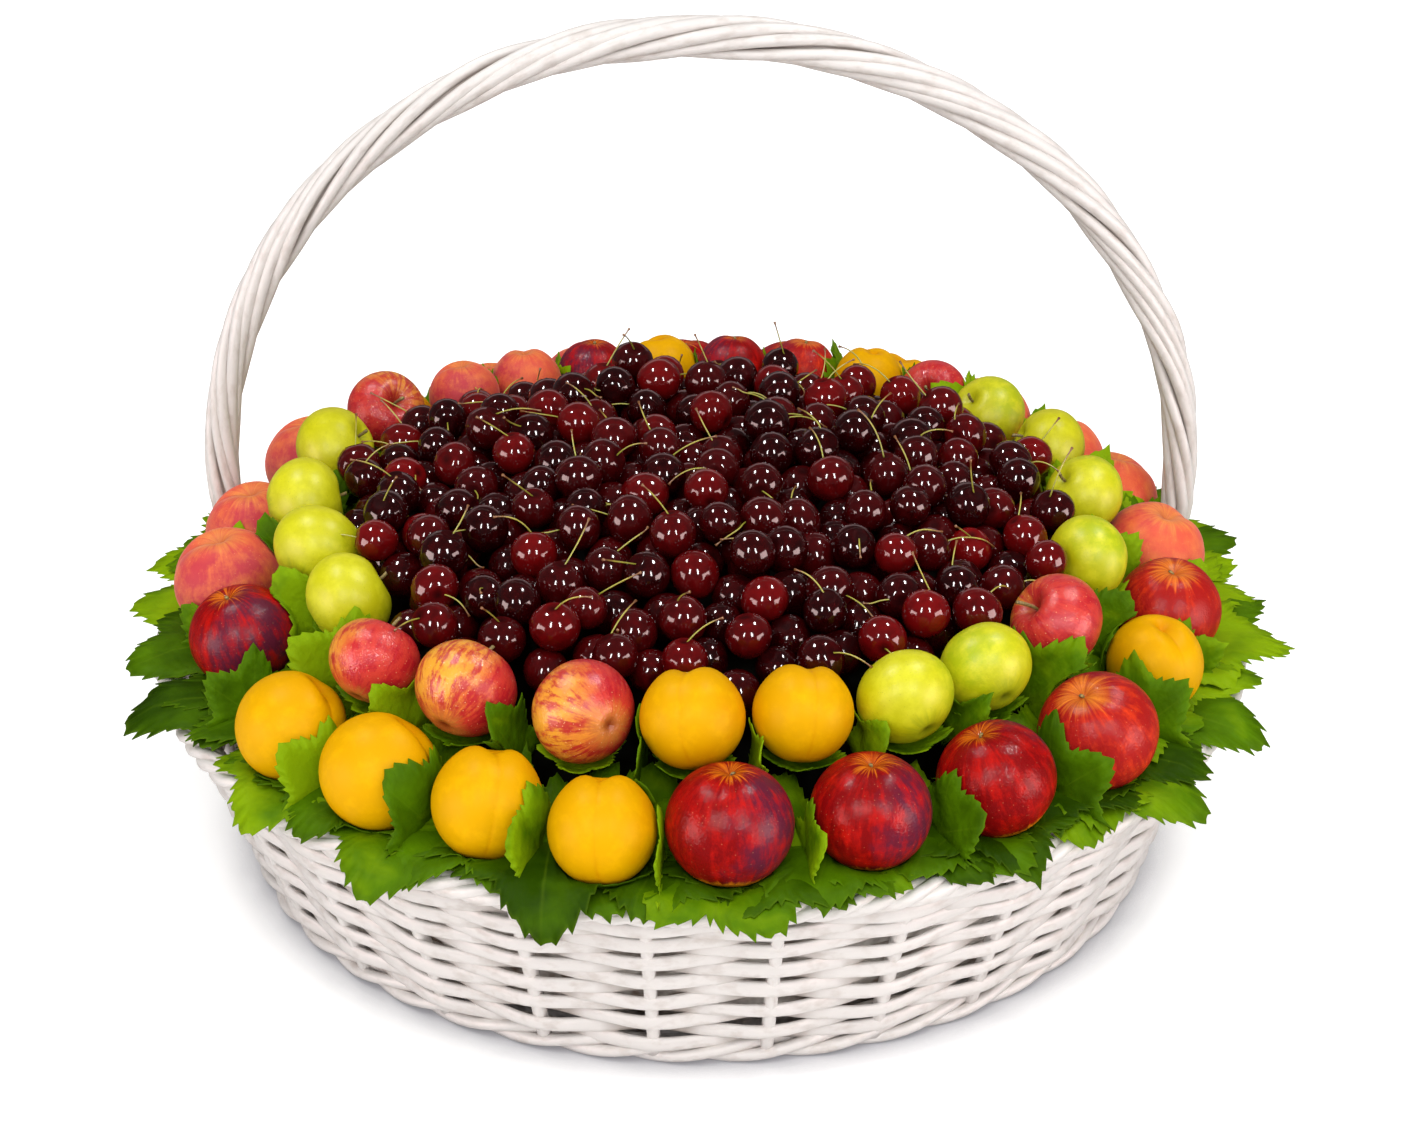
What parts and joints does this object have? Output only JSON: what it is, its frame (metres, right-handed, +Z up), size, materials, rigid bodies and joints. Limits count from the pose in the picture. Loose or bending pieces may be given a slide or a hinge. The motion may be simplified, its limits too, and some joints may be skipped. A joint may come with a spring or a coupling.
{
  "type": "basket of cherries",
  "caption": "Round white wicker basket with a bow handle, heaped with glossy cherries inside two rings of larger stone fruit and apples, on a skirt of green vine leaves.",
  "frame": {"origin": "centre of the basket's underside, on the surface that it stands on", "axes": "+Z up; the front, where the yellow fruit and the nectarines meet, faces -Y; the handle's arch runs along X, a little behind the middle"},
  "size_m": [0.688, 0.688, 0.4636],
  "materials": {
    "painted_willow": "white painted willow rods, satin",
    "cherry_skin": "taut glossy fruit skin, very dark red",
    "nectarine_skin": "smooth waxy fruit skin, crimson over yellow",
    "peach_skin": "downy fruit skin, pink red over orange",
    "yellow_plum_skin": "smooth satin fruit skin, deep yellow",
    "green_pippin_skin": "waxy fruit skin, yellow green",
    "red_pippin_skin": "waxy fruit skin, red streaks over yellow",
    "vine_leaf": "fresh leaf, satin"
  },
  "bodies": {
    "root": {"bow_handle": "painted_willow", "cherry_heap": "cherry_skin", "inner_green_pippin_1": "green_pippin_skin", "inner_green_pippin_10": "green_pippin_skin", "inner_green_pippin_2": "green_pippin_skin", "inner_green_pippin_3": "green_pippin_skin", "inner_green_pippin_4": "green_pippin_skin", "inner_green_pippin_5": "green_pippin_skin", "inner_green_pippin_6": "green_pippin_skin", "inner_green_pippin_7": "green_pippin_skin", "inner_green_pippin_8": "green_pippin_skin", "inner_green_pippin_9": "green_pippin_skin", "inner_nectarine_1": "nectarine_skin", "inner_nectarine_2": "nectarine_skin", "inner_nectarine_3": "nectarine_skin", "inner_peach_1": "peach_skin", "inner_peach_2": "peach_skin", "inner_red_pippin_1": "red_pippin_skin", "inner_red_pippin_2": "red_pippin_skin", "inner_red_pippin_3": "red_pippin_skin", "inner_red_pippin_4": "red_pippin_skin", "inner_red_pippin_5": "red_pippin_skin", "inner_red_pippin_6": "red_pippin_skin", "inner_yellow_plum_1": "yellow_plum_skin", "inner_yellow_plum_2": "yellow_plum_skin", "inner_yellow_plum_3": "yellow_plum_skin", "inner_yellow_plum_4": "yellow_plum_skin", "outer_nectarine_1": "nectarine_skin", "outer_nectarine_2": "nectarine_skin", "outer_nectarine_3": "nectarine_skin", "outer_nectarine_4": "nectarine_skin", "outer_nectarine_5": "nectarine_skin", "outer_nectarine_6": "nectarine_skin", "outer_nectarine_7": "nectarine_skin", "outer_nectarine_8": "nectarine_skin", "outer_peach_1": "peach_skin", "outer_peach_2": "peach_skin", "outer_peach_3": "peach_skin", "outer_peach_4": "peach_skin", "outer_peach_5": "peach_skin", "outer_peach_6": "peach_skin", "outer_peach_7": "peach_skin", "outer_peach_8": "peach_skin", "outer_peach_9": "peach_skin", "outer_yellow_plum_1": "yellow_plum_skin", "outer_yellow_plum_2": "yellow_plum_skin", "outer_yellow_plum_3": "yellow_plum_skin", "outer_yellow_plum_4": "yellow_plum_skin", "outer_yellow_plum_5": "yellow_plum_skin", "outer_yellow_plum_6": "yellow_plum_skin", "outer_yellow_plum_7": "yellow_plum_skin", "vine_leaves": "vine_leaf", "wicker_base": "painted_willow", "wicker_foot": "painted_willow", "wicker_rim": "painted_willow", "wicker_wall": "painted_willow"}
  },
  "joints": []
}
